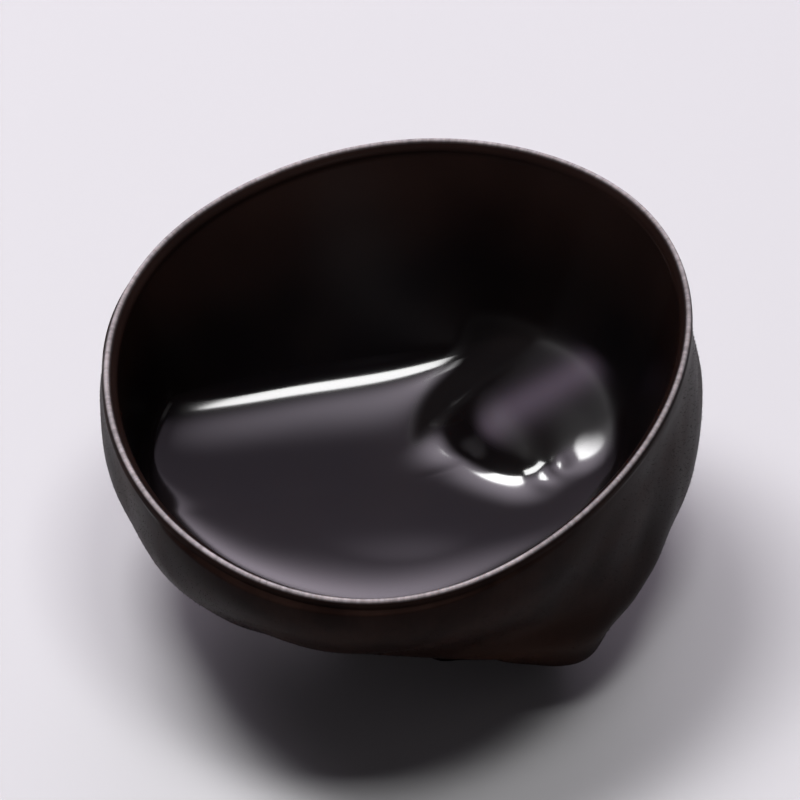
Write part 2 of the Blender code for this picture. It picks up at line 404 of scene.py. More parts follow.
@dataclass(frozen=True)
class Inside:
    """The wet inside: floor, straight crease, far wall and boss."""

    rim: Rim
    boss: Boss = field(default_factory=Boss)
    flats: tuple[Flat, ...] = (
        Flat(14.4 * MM, 2.1 * MM, (0.110, 0.310), 3.0 * MM),
        Flat(11.3 * MM, -0.3 * MM, (0.130, 0.330), 1.0 * MM),
        Flat(12.5 * MM, 0.5 * MM, (0.120, 0.320), 0.8 * MM),
    )
    depth: float = 13.4 * MM
    climb: float = 1.5 * MM
    climb_reach: float = 3.0 * MM
    side_climb: float = 0.8 * MM
    side_reach: float = 4.5 * MM
    boss_climb: float = 0.95 * MM
    boss_climb_reach: float = 2.8 * MM
    boss_climb_round: float = 1.2 * MM
    reach: Four = (0.75, 0.72, 0.90, 0.71)
    crease_away: float = 11.24 * MM
    crease_turn: float = math.radians(13.5)
    crease_bow: float = 0.30 * MM
    bow_at: float = -4.5 * MM
    bow_reach: float = 6.0 * MM
    crease_end: float = 0.05
    behind_span: float = 0.7
    crease_corner: float = 0.7 * MM
    crease_tight: float = 0.55 * MM
    crease_soft: float = 1.6 * MM
    straight_behind: float = 0.85
    straight_elsewhere: float = 0.25
    wall_power: float = 2.2
    middle: float = 9.0 * MM
    samples: int = 1200
    crowding: float = 0.8

    def floor_edge(self, angle: float) -> float:
        """Where the wall begins.

        Args:
            angle: the direction, in radians.

        Returns:
            The distance from the rim's centre.
        """
        reach = around(angle, self.reach) * self.rim.inner(angle)
        turn = angle - self.crease_turn
        away = max(math.sin(turn), self.crease_end)
        crease = self.crease(self.crease_away / away * math.cos(turn)) / away
        return reach - float(soft_max(reach - crease, 0.0, self.crease_corner))

    def crease(self, along: Array | float) -> Array | float:
        """How far the crease runs past the rim's centre, at a place along it."""
        bow = np.exp(-(((along - self.bow_at) / self.bow_reach) ** 2))
        return self.crease_away + self.crease_bow * bow

    def behind(self, angle: float) -> float:
        """1 under the far wall, 0 at the sides and in front."""
        return float(ease(math.sin(angle - self.crease_turn) / self.behind_span))

    def level(self, radius: Array, angle: float) -> Array:
        """The height of the floor, which climbs softly to all that bounds it.

        Args:
            radius: the distances from the rim's centre.
            angle: the direction, in radians.

        Returns:
            The heights above the cut.
        """
        side = around(angle, self.reach) * self.rim.inner(angle) - radius
        off_middle = ease(radius / self.middle)
        turn = angle - self.crease_turn
        crease = self.crease(radius * math.cos(turn)) - radius * math.sin(turn)
        lift = self.side_climb * np.exp(-np.maximum(side, 0.0) / self.side_reach)
        lift = lift * off_middle
        lift = lift + self.climb * np.exp(-np.maximum(crease, 0.0) / self.climb_reach)
        gap = (self.boss.away(spot_at(radius, angle)) - 1.0) * self.boss.widths[1]
        gap = soft_max(gap, 0.0, self.boss_climb_round)
        lift = lift + self.boss_climb * np.exp(-gap / self.boss_climb_reach)
        return self.rim.height - self.depth + lift

    def height(self, radius: Array | float, angle: float,
               flats: int | None = None) -> Array:
        """The height of the inside, with its small flat places.

        Args:
            radius: the distances from the rim's centre.
            angle: the direction, in radians.
            flats: how many of the flat places it has; None for all of them.

        Returns:
            The heights above the cut.
        """
        flats = len(self.flats) if flats is None else flats
        if flats == 0:
            return self.plain(radius, angle)
        flat = self.flats[flats - 1]
        below = self.height(radius, angle, flats - 1)
        own = self.height(math.hypot(flat.x, flat.y), math.atan2(flat.y, flat.x),
                          flats - 1)
        return flat.press(below, float(own), spot_at(radius, angle))

    def plain(self, radius: Array | float, angle: float) -> Array:
        """The height of the inside without its small flat places.

        Args:
            radius: the distances from the rim's centre.
            angle: the direction, in radians.

        Returns:
            The heights above the cut.
        """
        rim = self.rim.inner(angle)
        edge = self.floor_edge(angle)
        far = self.behind(angle)
        base = self.level(edge, angle)
        level = self.level(radius, angle)
        climb = (radius - edge) / (rim - edge)
        straight = self.straight_behind * far + self.straight_elsewhere * (1.0 - far)
        rise = straight * climb
        rise = rise + (1.0 - straight) * np.maximum(climb, 0.0) ** self.wall_power
        wall = base + (self.rim.edge_height(angle) - base) * rise
        tight = self.crease_tight * far + self.crease_soft * (1.0 - far)
        lift = soft_max(level, wall, tight) - level
        height = level + lift * ease(radius / self.middle)
        return self.boss.lift(height, self.rim.height - self.depth + self.boss_climb,
                              spot_at(radius, angle))

    def curve(self, angle: float, floor_rings: int, wall_rings: int) -> Array:
        """The inside in one direction, from the floor's middle to the lip.

        Args:
            angle: the direction, in radians.
            floor_rings: how many steps across the floor.
            wall_rings: how many steps up the wall.

        Returns:
            The points, the middle of the floor first.
        """
        edge = self.floor_edge(angle)
        floor = edge * np.linspace(0.0, 1.0, floor_rings + 1) ** self.crowding
        wall = np.linspace(edge, self.rim.inner(angle), self.samples)
        wall = evenly(np.column_stack([wall, self.height(wall, angle)]), wall_rings)
        radius = np.concatenate([floor[:-1], wall[:, 0]])
        height = self.height(radius, angle)
        flat = self.rim.centre + radius[:, None] * outward(angle)
        return flat + height[:, None] * UP


@dataclass(frozen=True)
class Pleats:
    """A ring of even folds that drift to and fro.

    Args:
        count: how many there are.
        depth: how far they stand out.
        drift: how far they drift, in radians of a fold.
        drifts: how many times they drift to and fro.
        phase: how far they are turned, in radians of a fold.
    """

    count: int
    depth: float
    drift: float
    drifts: int
    phase: float = 0.0

    def at(self, angle: float) -> float:
        """How far they stand out in this direction."""
        drift = self.drift * math.sin(self.drifts * angle)
        return self.depth * math.sin(self.count * angle + self.phase + drift)


@dataclass(frozen=True)
class Swelling:
    """A round patch on the outside, raised or only coloured.

    Args:
        angle: the direction of its middle, in radians.
        height: how high its middle is above the cut.
        size: how far it reaches.
        proud: how far it stands out, or its strength.
        arc: the radius that turns an angle into a distance.
    """

    angle: float
    height: float
    size: float
    proud: float = 1.0
    arc: float = 13.0 * MM

    def at(self, angle: float | Array, height: Array) -> Array:
        """How far it stands out.

        Args:
            angle: the directions to look in, in radians.
            height: the heights to look at.

        Returns:
            The distance, or the strength, at these places.
        """
        turn = (angle - self.angle + math.pi) % (2.0 * math.pi) - math.pi
        away = np.hypot(turn * self.arc, height - self.height)
        return self.proud * np.exp(-((away / self.size) ** 2))


@dataclass(frozen=True)
class Outside:
    """The downy outside: a folded bowl on a short, pleated foot."""

    rim: Rim
    belly_height: float = 10.1 * MM
    belly_reach: Four = (0.97, 0.63, 0.93, 0.71)
    wall_handles: Pair = (0.45, 0.34)
    under_handle: float = 0.32
    foot_radii: Pair = (7.8 * MM, 6.8 * MM)
    foot_height: float = 5.8 * MM
    foot_flare: float = 0.5 * MM
    folds: Pleats = Pleats(3, 0.7 * MM, 0.9, 2, math.radians(20))
    wide_pleats: Pleats = Pleats(7, 0.34 * MM, 1.3, 2)
    fine_pleats: Pleats = Pleats(12, 0.16 * MM, 2.0, 1)
    pleat_top: float = 15.0 * MM
    lobe: Swelling = Swelling(math.radians(-46), 3.6 * MM, 6.4 * MM, 6.4 * MM)
    dent: Swelling = Swelling(math.radians(-54), 9.4 * MM, 3.2 * MM, -1.3 * MM)
    lobe_foot: float = 3.2 * MM
    samples: int = 400

    def relief(self, angle: float, height: Array) -> Array:
        """How far the outside stands proud of its plain bowl.

        Args:
            angle: the direction, in radians.
            height: the heights to look at.

        Returns:
            The distances at these heights, outwards.
        """
        up = height / self.rim.height
        folds = self.folds.at(angle) * 4.0 * up * np.maximum(1.0 - up, 0.0)
        folds = folds * ease(height / self.foot_height)
        pleats = self.wide_pleats.at(angle) + self.fine_pleats.at(angle)
        pleats = pleats * ease(1.0 - height / self.pleat_top)
        lobes = self.lobe.at(angle, height) + self.dent.at(angle, height)
        return pleats + folds + lobes * ease(height / self.lobe_foot)

    def curve(self, angle: float, rings: int) -> Array:
        """The outside in one direction, from the lip to the cut.

        Args:
            angle: the direction, in radians.
            rings: how many equal steps.

        Returns:
            The points, the lip's outer edge first.
        """
        out = outward(angle)
        radius = self.rim.outer(angle)
        rim = self.rim.centre + radius * out + self.rim.edge_height(angle) * UP
        belly = self.rim.centre + around(angle, self.belly_reach) * radius * out
        belly = belly + self.belly_height * UP
        wide, deep = self.foot_radii
        foot = out / math.hypot(out[0] / wide, out[1] / deep)
        along = unit(unit(rim - belly) + unit(belly - foot))
        upper = np.linalg.norm(rim - belly)
        lower = np.linalg.norm(belly - foot)
        wall = bezier(rim, rim - self.wall_handles[0] * upper * UP,
                      belly + self.wall_handles[1] * upper * along, belly,
                      self.samples)
        neck = foot - self.foot_flare * out + self.foot_height * UP
        under = bezier(belly, belly - self.under_handle * lower * along, neck, foot,
                       self.samples)
        curve = np.concatenate([wall, under[1:]])
        return evenly(curve + self.relief(angle, curve[:, 2])[:, None] * out, rings)


# ------------------------------------------------------------------ materials
@dataclass(frozen=True)
class Pattern:
    """The look of a soft noise.

    Args:
        scale: how many features there are to a unit of length.
        detail: how many finer octaves are added.
        roughness: how strong they are.
        distortion: how far the pattern is pushed about.
    """

    scale: float
    detail: float = 3.0
    roughness: float = 0.5
    distortion: float = 0.0


class Kind(Enum):
    """What a mixed value is."""

    COLOUR = "RGBA"
    NUMBER = "FLOAT"


class Wiring:
    """A small helper that adds and links the nodes of one tree."""

    def __init__(self, tree: bpy.types.NodeTree) -> None:
        """Keeps the tree that it works on."""
        self.tree = tree

    def node(self, kind: str, inputs: dict[str | int, object] | None = None,
             **settings: object) -> bpy.types.Node:
        """Adds a node.

        Args:
            kind: the node's type.
            inputs: what its sockets are linked to or set to.
            settings: the values of its own properties.

        Returns:
            The node.
        """
        made = self.tree.nodes.new(kind)
        for name, value in settings.items():
            setattr(made, name, value)
        for name, value in (inputs or {}).items():
            self.feed(made.inputs[name], value)
        return made

    def feed(self, socket: Socket, value: object) -> None:
        """Links a socket to another, or sets its constant.

        Args:
            socket: the socket that is fed.
            value: a socket to link, or a constant.
        """
        if isinstance(value, Socket):
            self.tree.links.new(value, socket)
        elif socket.type == "RGBA":
            socket.default_value = (*value, 1.0)
        else:
            socket.default_value = value

    def math(self, operation: str, a: object, b: object = 0.0) -> Socket:
        """One operation on two numbers."""
        made = self.node("ShaderNodeMath", {0: a, 1: b}, operation=operation)
        return made.outputs["Value"]

    def span(self, value: object, low: float, high: float, to_low: float = 0.0,
             to_high: float = 1.0) -> Socket:
        """A value stretched smoothly from one span to another.

        Args:
            value: the number.
            low: where the span begins.
            high: where it ends.
            to_low: what the beginning becomes.
            to_high: what the end becomes.

        Returns:
            The stretched number, held within its new span.
        """
        parts = {"Value": value, "From Min": low, "From Max": high,
                 "To Min": to_low, "To Max": to_high}
        return self.node("ShaderNodeMapRange", parts,
                         interpolation_type="SMOOTHSTEP").outputs["Result"]

    def random(self, least: float, most: float, seed: object = 0) -> Socket:
        """A random number for each point."""
        inputs = {"Min": least, "Max": most, "Seed": seed}
        return self.node("FunctionNodeRandomValue", inputs).outputs["Value"]


class Graph(Wiring):
    """The nodes of one material, with its Principled shader."""

    def __init__(self, name: str) -> None:
        """Makes an empty material."""
        self.material = bpy.data.materials.new(name)
        self.material.use_nodes = True
        super().__init__(self.material.node_tree)

    def shade(self, **inputs: object) -> bpy.types.Material:
        """Feeds the shader's inputs, whose names have _ for spaces.

        Args:
            inputs: what the shader's sockets are linked to or set to.

        Returns:
            The material.
        """
        sockets = self.tree.nodes["Principled BSDF"].inputs
        for name, value in inputs.items():
            self.feed(sockets[name.replace("_", " ")], value)
        return self.material

    def stored(self, name: str, output: str = "Fac") -> Socket:
        """A number, or with "Vector" a vector, stored on the mesh."""
        return self.node("ShaderNodeAttribute", attribute_name=name).outputs[output]

    def place(self) -> Socket:
        """The point's place on the object, in metres."""
        return self.node("ShaderNodeTexCoord").outputs["Object"]

    def noise(self, vector: Socket, look: Pattern) -> Socket:
        """Soft noise around 0.5, read at a vector."""
        inputs = {"Vector": vector, "Scale": look.scale, "Detail": look.detail,
                  "Roughness": look.roughness, "Distortion": look.distortion}
        return self.node("ShaderNodeTexNoise", inputs).outputs["Fac"]

    def laid(self, base: object, *layers: tuple[object, object],
             kind: Kind = Kind.COLOUR) -> Socket:
        """A colour or a number with others laid over it, one after another.

        Args:
            base: what lies underneath.
            layers: for each of the others, how much of it covers, and itself.
            kind: whether they are colours or numbers.

        Returns:
            What they come to.
        """
        for share, value in layers:
            inputs = {"Factor": share, "A": base, "B": value}
            mixed = self.node("ShaderNodeMix", inputs, data_type=kind.value)
            base = mixed.outputs["Result"]
        return base

    def bump(self, height: Socket, depth: float) -> Socket:
        """A normal tilted by a height of 0 to 1 that is this many metres deep."""
        return self.node("ShaderNodeBump", {"Strength": 1.0, "Distance": depth,
                                            "Height": height}).outputs["Normal"]


@dataclass(frozen=True)
class FleshFinish:
    """Soaked flesh: wet and nearly black inside, brown and duller outside."""

    deep: Colour = (0.0012, 0.0007, 0.0010)
    wall: Colour = (0.0030, 0.0019, 0.0019)
    thin_glow: Colour = (0.0125, 0.0062, 0.0050)
    # painted glow: light coming through the thin flesh near the rim, painted as a
    # lighter brown
    outside: Colour = (0.0080, 0.0040, 0.0033)
    mottle: Colour = (0.0190, 0.0100, 0.0078)
    # painted glow: a warm brown where light comes through the flesh low at the front
    warm_glow: Colour = (0.0300, 0.0140, 0.0092)
    # painted sheen: a paler purple-grey streak along the boss's ridge that stands in
    # for a reflection
    ridge_sheen: Colour = (0.046, 0.035, 0.048)
    # the pale line on the lip's crest: partly the edge's own tone, partly a painted
    # highlight
    lip: Colour = (0.4100, 0.3700, 0.3820)
    cut: Colour = (0.150, 0.082, 0.050)
    cut_fibre: Colour = (0.075, 0.038, 0.024)
    floor_rough: float = 0.14
    wall_rough: float = 0.30
    boss_rough: float = 0.50
    dull_rough: float = 0.95
    lip_rough: float = 0.20
    outside_rough: float = 0.38
    cut_rough: float = 0.62
    clouds: Pattern = Pattern(70.0, 2.0)
    blotches: Pattern = Pattern(170.0, 4.0, 0.55, 0.4)
    grain: Pattern = Pattern(5200.0, 3.0, 0.6)
    fibres: Pattern = Pattern(1400.0, 4.0, 0.65, 1.2)
    streaks: Pattern = Pattern(1.0, 3.0, 0.6)
    streaks_per_metre: Triple = (2600.0, 2600.0, 260.0)
    # the part of a noise that is stretched, and what it is stretched to
    wall_clouds: Span = (0.35, 0.65)
    thin_glow_clouds: Span = (0.25, 0.75, 0.45, 1.0)
    mottle_blotches: Span = (0.35, 0.70)
    outside_streaks: Span = (0.40, 0.75, 0.0, 0.30)
    lip_clouds: Span = (0.36, 0.62, 0.65, 1.0)
    lip_streaks: Span = (0.3, 0.7, 0.6, 1.0)
    cut_fibres: Span = (0.35, 0.65)
    rough_blotches: Span = (0.3, 0.7, -0.04, 0.05)
    # the finest pits, how light goes through the flesh, and the wet film
    pit_depth: float = 0.006 * MM
    scatter: float = 0.10
    scatter_by_colour: Triple = (1.0, 0.42, 0.2)
    scatter_depth: float = 1.2 * MM
    film_rough: float = 0.10
    film_ior: float = 1.50

    def build(self, name: str, ior: float) -> bpy.types.Material:
        """Makes the material.

        Args:
            name: the material's name.
            ior: how strongly the flesh itself mirrors.

        Returns:
            A material that reads the ear's own attributes.
        """
        g = Graph(name)
        place = g.place()
        wet, lip, cut, thin_glow, puddle, boss, ridge_sheen, dull, warm_glow = (
            g.stored(share) for share in ("wet", "lip", "cut", "thin_glow", "puddle",
                                          "boss", "ridge_sheen", "dull", "warm_glow"))
        cloud, blotch, grain, fibre = (
            g.noise(place, look)
            for look in (self.clouds, self.blotches, self.grain, self.fibres))
        strand = g.node("ShaderNodeMapping", {"Vector": g.stored("strand", "Vector"),
                                              "Scale": self.streaks_per_metre})
        streaks = g.noise(strand.outputs["Vector"], self.streaks)

        # inside: the flesh's own dark tones, with a painted glow where the thin flesh
        # lets light through and a painted sheen along the boss's ridge
        glow = g.math("MULTIPLY", thin_glow, g.span(cloud, *self.thin_glow_clouds))
        inner = g.laid(self.deep, (g.span(cloud, *self.wall_clouds), self.wall),
                       (glow, self.thin_glow), (ridge_sheen, self.ridge_sheen))
        # outside: its own tone, random mottle and streaks, and a painted warm glow of
        # light through the flesh low at the front
        outer = g.laid(self.outside,
                       (g.span(blotch, *self.mottle_blotches), self.mottle),
                       (g.span(streaks, *self.outside_streaks), self.outside),
                       (warm_glow, self.warm_glow))
        # the pale line at the lip's crest: partly the edge's own tone, partly a painted
        # highlight
        edge = g.math("MULTIPLY", lip, g.span(cloud, *self.lip_clouds))
        edge = g.math("MULTIPLY", edge, g.span(streaks, *self.lip_streaks))
        section = g.laid(self.cut_fibre, (g.span(fibre, *self.cut_fibres), self.cut))
        colour = g.laid(outer, (wet, inner), (edge, self.lip), (cut, section))

        inner_rough = g.laid(self.wall_rough, (puddle, self.floor_rough),
                             (boss, self.boss_rough), (dull, self.dull_rough),
                             kind=Kind.NUMBER)
        rough = g.laid(self.outside_rough, (wet, inner_rough), (lip, self.lip_rough),
                       (cut, self.cut_rough), kind=Kind.NUMBER)
        dry = g.math("SUBTRACT", 1.0, wet)
        uneven = g.math("MULTIPLY", g.span(blotch, *self.rough_blotches), dry)
        pits = g.math("MULTIPLY", g.math("ADD", grain, streaks), dry)
        return g.shade(
            Base_Color=colour, Roughness=g.math("ADD", rough, uneven),
            Normal=g.bump(pits, self.pit_depth), IOR=ior,
            Subsurface_Weight=self.scatter, Subsurface_Radius=self.scatter_by_colour,
            Subsurface_Scale=self.scatter_depth,
            Coat_Weight=g.math("MULTIPLY", wet, puddle),
            Coat_Roughness=self.film_rough, Coat_IOR=self.film_ior)


@dataclass(frozen=True)
class DownFinish:
    """Fine down on the outside: short, soft, grey-brown hairs."""

    root: Colour = (0.0050, 0.0028, 0.0022)
    tip: Colour = (0.0130, 0.0078, 0.0064)
    patches: Pattern = Pattern(420.0, 2.0)
    colour_patches: Span = (0.3, 0.7)
    rough_patches: Span = (0.2, 0.8, 0.5, 0.55)
    ior: float = 1.20

    def build(self) -> bpy.types.Material:
        """Makes the material.

        Returns:
            A material for the hairs.
        """
        g = Graph("ear_down_soft")
        patch = g.noise(g.place(), self.patches)
        colour = g.laid(self.root, (g.span(patch, *self.colour_patches), self.tip))
        return g.shade(Base_Color=colour, IOR=self.ior,
                       Roughness=g.span(patch, *self.rough_patches))


@dataclass(frozen=True)
class FloorFinish:
    """The plain pale studio floor."""

    colour: Colour = (0.510, 0.506, 0.518)
    rough: float = 0.55

    def build(self) -> bpy.types.Material:
        """Makes the floor's material."""
        return Graph("studio_floor").shade(Base_Color=self.colour, Roughness=self.rough)


# ------------------------------------------------------------------ the pieces
def put(name: str, data: bpy.types.ID) -> bpy.types.Object:
    """Adds an object to the scene, at the origin.

    Args:
        name: its name.
        data: its mesh, light or lens.

    Returns:
        The object.
    """
    made = bpy.data.objects.new(name, data)
    bpy.context.scene.collection.objects.link(made)
    return made


def skin(name: str, columns: Array, closed: bool) -> tuple[bpy.types.Mesh, Array]:
    """Makes a smooth round mesh over columns that start at one shared point.

    Args:
        name: its name.
        columns: the points by column and ring, the shared one first.
        closed: whether the last ring is closed to the origin.

    Returns:
        The mesh and its points, which are all rings column by column, the shared
        point and, where it is closed, the origin.
    """
    rings = columns.shape[1] - 1
    verts = np.concatenate([columns[:, 1:].reshape(-1, 3), columns[:1, 0],
                            np.zeros((int(closed), 3))])
    middle, last = len(columns) * rings, rings - 1
    here = np.arange(len(columns)) * rings
    faces = []
    for a, b in zip(here.tolist(), np.roll(here, -1).tolist()):
        faces.append((middle, a, b))
        faces.extend((a + r, a + r + 1, b + r + 1, b + r) for r in range(last))
        if closed:
            faces.append((middle + 1, b + last, a + last))
    mesh = bpy.data.meshes.new(name)
    mesh.from_pydata(verts.tolist(), [], faces)
    mesh.shade_smooth()
    return mesh, verts


def seat(piece: bpy.types.Object) -> None:
    """Puts a finished piece on the ear's one body.

    Args:
        piece: the object, at the origin.
    """
    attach(piece, BODY)
    log.info("%s: %d faces", piece.name, len(piece.data.polygons))


@dataclass
class EarFlesh:
    """The whole ear as one fine closed skin."""

    finish: FleshFinish = field(default_factory=FleshFinish)
    rim: Rim = field(default_factory=Rim)
    wet_ior: float = 1.18
    dull_ior: float = 1.08
    columns: int = 432
    floor_rings: int = 56
    wall_rings: int = 52
    lip_rings: tuple[int, int] = (9, 10)
    outer_rings: int = 80
    cut_rings: int = 8
    lumps: Unevenness = Unevenness(3, 9.0 * MM, 0.09 * MM)
    wrinkles: Unevenness = Unevenness(8, 3.2 * MM, 0.022 * MM)
    ripples: Unevenness = Unevenness(5, 9.0 * MM, 0.018 * MM)
    cut_grain: Unevenness = Unevenness(11, 1.1 * MM, 0.035 * MM)
    # where a warm glow of light through the flesh is painted, low at the front
    warm_glow: Swelling = Swelling(math.radians(-72), 6.5 * MM, 4.5 * MM)
    wrinkle_stretch: Triple = (1.0, 1.0, 0.45)
    wrinkle_least: float = 0.5
    wrinkle_top: float = 16.0 * MM
    smooth_foot: float = 1.5 * MM
    smooth_rings: float = 14.0
    # in rings past the lip's crest
    dull_from: int = 2
    dry: Fade = Fade(1.0, 6.0)
    # where the lip's pale line lies: partly the edge's own tone, partly a painted
    # highlight
    pale_middle: float = 0.6
    pale: Fade = Fade(0.8, 2.2)
    # in rings past the lip's outer edge
    # the painted glow through thin flesh fades out down the outside
    thick: Fade = Fade(0.0, 22.0)
    down_rings: Fade = Fade(1.0, 6.0)
    # in shares of the wall's height and of the boss's reach
    # the painted glow through thin flesh grows up the wall
    thin_glow: Fade = Fade(0.30, 0.75)
    boss_within: Fade = Fade(0.80, -0.25)
    dull_within: Fade = Fade(1.9, -0.35)
    # in metres above the floor, across the boss and above the cut
    film_top: Fade = Fade(1.6 * MM, 1.2 * MM)
    high: Fade = Fade(3.7 * MM, 1.5 * MM)
    dull_across: Fade = Fade(3.0 * MM, 2.0 * MM)
    # where the painted sheen runs along the boss's ridge, and how wide it is
    ridge_sheen_across: float = -0.2 * MM
    ridge_sheen_width: float = 1.6 * MM
    down_height: Fade = Fade(0.3 * MM, 0.4 * MM)

    def __post_init__(self) -> None:
        """Makes the two sides of the ear on its rim, and numbers its rings."""
        self.inside = Inside(self.rim)
        self.outside = Outside(self.rim)
        self.angles = turns(self.columns)
        self.lip_start = self.floor_rings + self.wall_rings
        self.crest = self.lip_start + self.lip_rings[0] - 1
        self.lip_end = self.crest + self.lip_rings[1]
        self.rings = self.lip_end + self.outer_rings + 1 + self.cut_rings

    def zones(self) -> Array:
        """The zone of each ring, from the one next to the floor's middle.

        Returns:
            The numbers of the zones.
        """
        counts = ((Zone.FLOOR, self.floor_rings), (Zone.WALL, self.wall_rings),
                  (Zone.LIP, self.lip_end - self.lip_start),
                  (Zone.OUTSIDE, self.outer_rings + 1), (Zone.CUT, self.cut_rings))
        return np.concatenate([np.full(count, zone.value) for zone, count in counts])

    def column(self, angle: float) -> Array:
        """The points of one column, from the floor's middle to the cut's middle.

        Args:
            angle: the direction, in radians.

        Returns:
            The points, one to a row, without the cut's own middle.
        """
        inside = self.inside.curve(angle, self.floor_rings, self.wall_rings)
        lip = self.rim.lip(angle, *self.lip_rings)
        outside = self.outside.curve(angle, self.outer_rings)
        share = np.linspace(1.0, 0.0, self.cut_rings + 2)[1:-1, None]
        return np.concatenate([inside, lip, outside, outside[-1] * share])

    def build(self) -> bpy.types.Object:
        """Builds the skin with its attributes.

        Returns:
            The object, at the origin.
        """
        columns = np.array([self.column(angle) for angle in self.angles])
        mesh, verts = skin("ear_flesh", columns, closed=True)
        self.roughen(mesh, verts)
        self.mark(mesh, verts, columns)
        mesh.validate()
        mesh.materials.append(self.finish.build("ear_flesh_wet", self.wet_ior))
        mesh.materials.append(self.finish.build("ear_flesh_dull", self.dull_ior))
        dull = np.arange(self.rings + 1) > self.crest + self.dull_from
        mesh.polygons.foreach_set("material_index",
                                  np.tile(dull, self.columns).astype(np.int32))
        return put("ear_flesh", mesh)

    def per_vertex(self, values: Array, middle: float, cut: float) -> Array:
        """Values by ring, spread over all columns and the two middles."""
        return np.concatenate([np.tile(values, self.columns), [middle, cut]])

    def roughen(self, mesh: bpy.types.Mesh, verts: Array) -> None:
        """Adds the small unevenness of a grown surface along the normals.

        Args:
            mesh: the ear's mesh, which is changed.
            verts: its smooth points.
        """
        normals = np.zeros(len(verts) * 3, np.float32)
        mesh.vertex_normals.foreach_get("vector", normals)
        zones = self.per_vertex(self.zones(), Zone.FLOOR.value, Zone.CUT.value)
        outside = zones == Zone.OUTSIDE.value
        wrinkles = self.wrinkles.at(verts * self.wrinkle_stretch)
        low = ease(1.0 - verts[:, 2] / self.wrinkle_top)
        shift = outside * self.lumps.at(verts)
        shift += outside * wrinkles * (self.wrinkle_least + low)
        shift += (zones == Zone.WALL.value) * self.ripples.at(verts)
        shift *= ease(verts[:, 2] / self.smooth_foot) * self.off_lip()
        moved = verts + shift[:, None] * normals.reshape(-1, 3)
        moved[:, 2] += (zones == Zone.CUT.value) * np.abs(self.cut_grain.at(verts))
        mesh.vertices.foreach_set("co", moved.astype(np.float32).ravel())
        mesh.update()

    def off_lip(self) -> Array:
        """0 on the lip and 1 well away from it.

        Returns:
            A share for each point.
        """
        ring = np.arange(self.rings)
        near = np.maximum(self.lip_start - ring, ring - self.lip_end)
        return self.per_vertex(ease(near / self.smooth_rings), 1.0, 1.0)

    def mark(self, mesh: bpy.types.Mesh, verts: Array, columns: Array) -> None:
        """Stores what the finish and the down read.

        Args:
            mesh: the ear's mesh, which is changed.
            verts: its smooth points.
            columns: the same by column and ring.
        """
        for name, share in {**self.by_ring(), **self.by_place(verts)}.items():
            layer = mesh.attributes.new(name, "FLOAT", "POINT")
            layer.data.foreach_set("value", share.astype(np.float32))
        layer = mesh.attributes.new("strand", "FLOAT_VECTOR", "POINT")
        strand = self.strand(columns).astype(np.float32)
        layer.data.foreach_set("vector", strand.ravel())

    def by_ring(self) -> dict[str, Array]:
        """Where the skin is wet, where the lip's pale line lies (partly a painted
        highlight), where it is cut, and where a glow through thin flesh is painted.

        Returns:
            A share for each point, by name.
        """
        ring = np.arange(self.rings)
        wet = 1.0 - self.dry.at(ring - self.crest)
        lip = 1.0 - self.pale.at(np.abs(ring - self.crest - self.pale_middle))
        cut = (self.zones() == Zone.CUT.value) * 1.0
        up = (ring - self.floor_rings) / self.wall_rings
        # painted glow of light through thin flesh: up the wall inside, fading down from
        # the lip outside
        thin_glow = np.where(ring < self.lip_end, self.thin_glow.at(up),
                        1.0 - self.thick.at(ring - self.lip_end))
        return {"wet": self.per_vertex(wet, 1.0, 0.0),
                "lip": self.per_vertex(lip, 0.0, 0.0),
                "cut": self.per_vertex(cut, 0.0, 1.0),
                "thin_glow": self.per_vertex(thin_glow, 0.0, 0.0)}

    def by_place(self, verts: Array) -> dict[str, Array]:
        """Where the skin is boss, dull, filmed with wet, painted with a sheen along the
        boss's ridge, painted with a warm glow of light through the flesh, and downy.

        Args:
            verts: the smooth points.

        Returns:
            A share for each point, by name.
        """
        ring = np.arange(self.rings)
        inside = self.per_vertex((ring < self.lip_start) * 1.0, 1.0, 0.0)
        down = self.down_rings.at(ring - self.lip_end)
        down = down * (self.zones() == Zone.OUTSIDE.value)
        height = verts[:, 2]
        above = height - (self.rim.height - self.inside.depth)
        x, y = (verts - self.rim.centre)[:, :2].T
        away = self.inside.boss.away((x, y))
        across = self.inside.boss.place((x, y))[1]
        low = 1.0 - self.film_top.at(above)
        high = self.high.at(above)
        boss = self.boss_within.at(away) * inside
        dull = self.dull_within.at(away) * self.dull_across.at(across)
        dull = dull * inside * (1.0 - boss) * (1.0 - high)
        # the painted sheen, a band along the boss's ridge below its high part
        ridge_sheen = ((across - self.ridge_sheen_across) / self.ridge_sheen_width) ** 2
        # the painted warm glow of light through the flesh, low on the front outside
        warm_glow = self.warm_glow.at(np.arctan2(verts[:, 1], verts[:, 0]), height)
        return {"boss": boss, "dull": dull,
                "puddle": low * inside * (1.0 - boss) * (1.0 - dull),
                "ridge_sheen": np.exp(-ridge_sheen) * boss * (1.0 - high), "warm_glow": warm_glow,
                "down": self.per_vertex(down, 0.0, 0.0) * self.down_height.at(height)}

    def strand(self, columns: Array) -> Array:
        """Where each point is on the flesh's grain, which runs along the columns.

        Args:
            columns: the smooth points by column and ring.

        Returns:
            Two numbers round the ear and one along the column, in metres.
        """
        steps = np.linalg.norm(np.diff(columns, axis=1), axis=2)
        ways = self.rim.radius * np.column_stack([np.cos(self.angles),
                                                  np.sin(self.angles)])
        ways = np.repeat(ways[:, None], self.rings, axis=1)
        strand = np.dstack([ways, np.cumsum(steps, axis=1)])
        return np.concatenate([strand.reshape(-1, 3), np.zeros((2, 3))])


